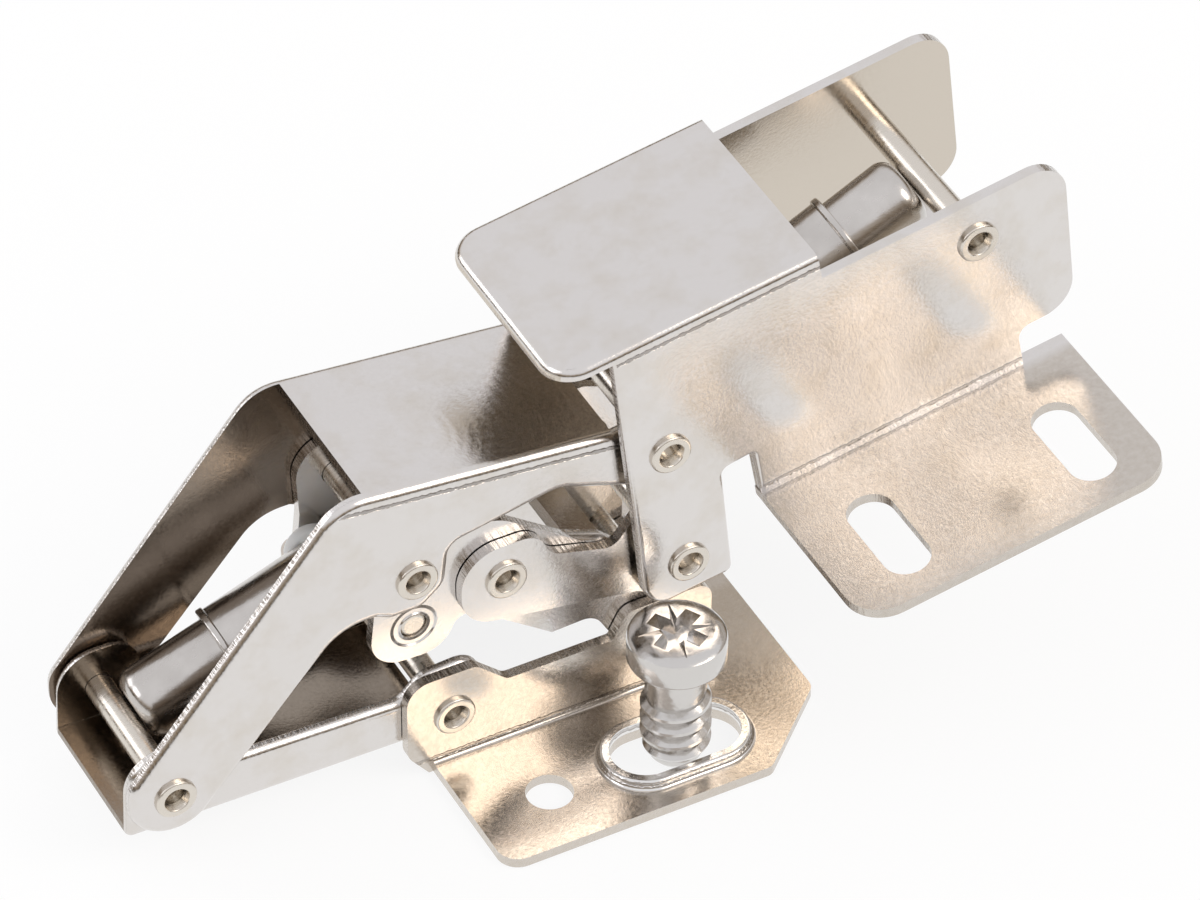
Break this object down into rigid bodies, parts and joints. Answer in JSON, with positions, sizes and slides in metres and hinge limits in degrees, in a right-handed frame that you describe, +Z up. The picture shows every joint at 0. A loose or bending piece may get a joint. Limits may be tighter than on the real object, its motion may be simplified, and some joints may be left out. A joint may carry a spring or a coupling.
{
  "type": "surface-mounted folding bridge hinge",
  "caption": "Folding cabinet hinge of nickel-plated sheet steel: linked channel arms, two spring cartridges, a slotted base plate and a slotted door bracket.",
  "frame": {"origin": "on the base plate underside, midway between its two round screw holes", "axes": "+Z up from the cabinet face, +X along the base plate away from the folded arms, +Y along the axles to the far side"},
  "size_m": [0.0893, 0.0572, 0.0463],
  "materials": {
    "nickel_sheet": "nickel plated, satin bright",
    "rivet_steel": "nickel plated",
    "screw_steel": "bright nickel plated",
    "cartridge_steel": "drawn steel, nickel plated",
    "spring_steel": "oiled spring wire",
    "nylon": "natural nylon"
  },
  "bodies": {
    "base": {"base_plate": "nickel_sheet", "base_rear_axle": "rivet_steel", "base_front_axle": "rivet_steel", "fixing_screw_near": "screw_steel", "fixing_screw_far": "screw_steel"},
    "lower_arm": {"lower_arm": "nickel_sheet"},
    "outer_arm": {"outer_arm": "nickel_sheet", "arm_joint_axle": "rivet_steel", "link_joint_axle": "rivet_steel", "spring_seat_axle_high": "rivet_steel"},
    "cross_link": {"cross_link": "nickel_sheet", "spring_seat_axle_low": "rivet_steel"},
    "short_links": {"short_link_near": "nickel_sheet", "short_link_far": "nickel_sheet", "short_link_axle": "rivet_steel"},
    "door_bracket": {"door_bracket": "nickel_sheet", "bracket_top_axle": "rivet_steel", "bracket_low_axle": "rivet_steel", "spring_axle_high": "rivet_steel"},
    "low_tube": {"low_tube": "cartridge_steel", "low_spring": "spring_steel"},
    "low_sleeve": {"low_sleeve": "cartridge_steel", "low_saddle": "nylon"},
    "high_tube": {"high_tube": "cartridge_steel", "high_spring": "spring_steel"},
    "high_sleeve": {"high_sleeve": "cartridge_steel", "high_saddle": "nylon"}
  },
  "joints": [
    {"name": "arm_fold", "type": "hinge", "parent": "base", "child": "lower_arm", "pos_m": [-0.0051, 0, 0.00585], "axis": [0, 1, 0], "range_deg": [0, 148], "stiffness_Nm_per_rad": 0.05, "springref_deg": -68.75},
    {"name": "outer_fold", "type": "hinge", "parent": "lower_arm", "child": "outer_arm", "pos_m": [-0.0314, 0, 0.00795], "axis": [0, 1, 0], "range_deg": [-113.14, 0]},
    {"name": "link_swing", "type": "hinge", "parent": "outer_arm", "child": "cross_link", "pos_m": [-0.0085, 0, 0.02305], "axis": [0, 1, 0], "range_deg": [0, 89.46]},
    {"name": "short_link_swing", "type": "hinge", "parent": "cross_link", "child": "short_links", "pos_m": [-0.0001, 0, 0.01955], "axis": [0, 1, 0], "range_deg": [-122.77, 0]},
    {"name": "door_swing", "type": "hinge", "parent": "outer_arm", "child": "door_bracket", "pos_m": [0.0146, 0, 0.02905], "axis": [0, 1, 0], "range_deg": [0, 59.72]},
    {"name": "low_tube_turn", "type": "hinge", "parent": "outer_arm", "child": "low_tube", "pos_m": [-0.0314, 0, 0.00795], "axis": [0, 1, 0], "range_deg": [-20.95, 0]},
    {"name": "low_sleeve_slide", "type": "slide", "parent": "low_tube", "child": "low_sleeve", "axis": [0.9345, 0, 0.356], "range_m": [-0.00247, 0]},
    {"name": "high_tube_turn", "type": "hinge", "parent": "door_bracket", "child": "high_tube", "pos_m": [0.044, 0, 0.04085], "axis": [0, 1, 0], "range_deg": [0, 15.96]},
    {"name": "high_sleeve_slide", "type": "slide", "parent": "high_tube", "child": "high_sleeve", "axis": [-0.8912, 0, -0.4537], "range_m": [0, 0.00201]}
  ],
  "couplings": [
    {"joint": "outer_fold", "follows": "arm_fold", "ratio": -0.76435},
    {"joint": "link_swing", "follows": "arm_fold", "ratio": 0.6043},
    {"joint": "short_link_swing", "follows": "arm_fold", "ratio": -0.82942},
    {"joint": "door_swing", "follows": "arm_fold", "ratio": 0.40341},
    {"joint": "low_tube_turn", "follows": "arm_fold", "ratio": -0.14144},
    {"joint": "high_tube_turn", "follows": "arm_fold", "ratio": 0.10772},
    {"joint": "low_sleeve_slide", "follows": "arm_fold", "m_per_rad": -0.00094958},
    {"joint": "high_sleeve_slide", "follows": "arm_fold", "m_per_rad": 0.00077109}
  ]
}
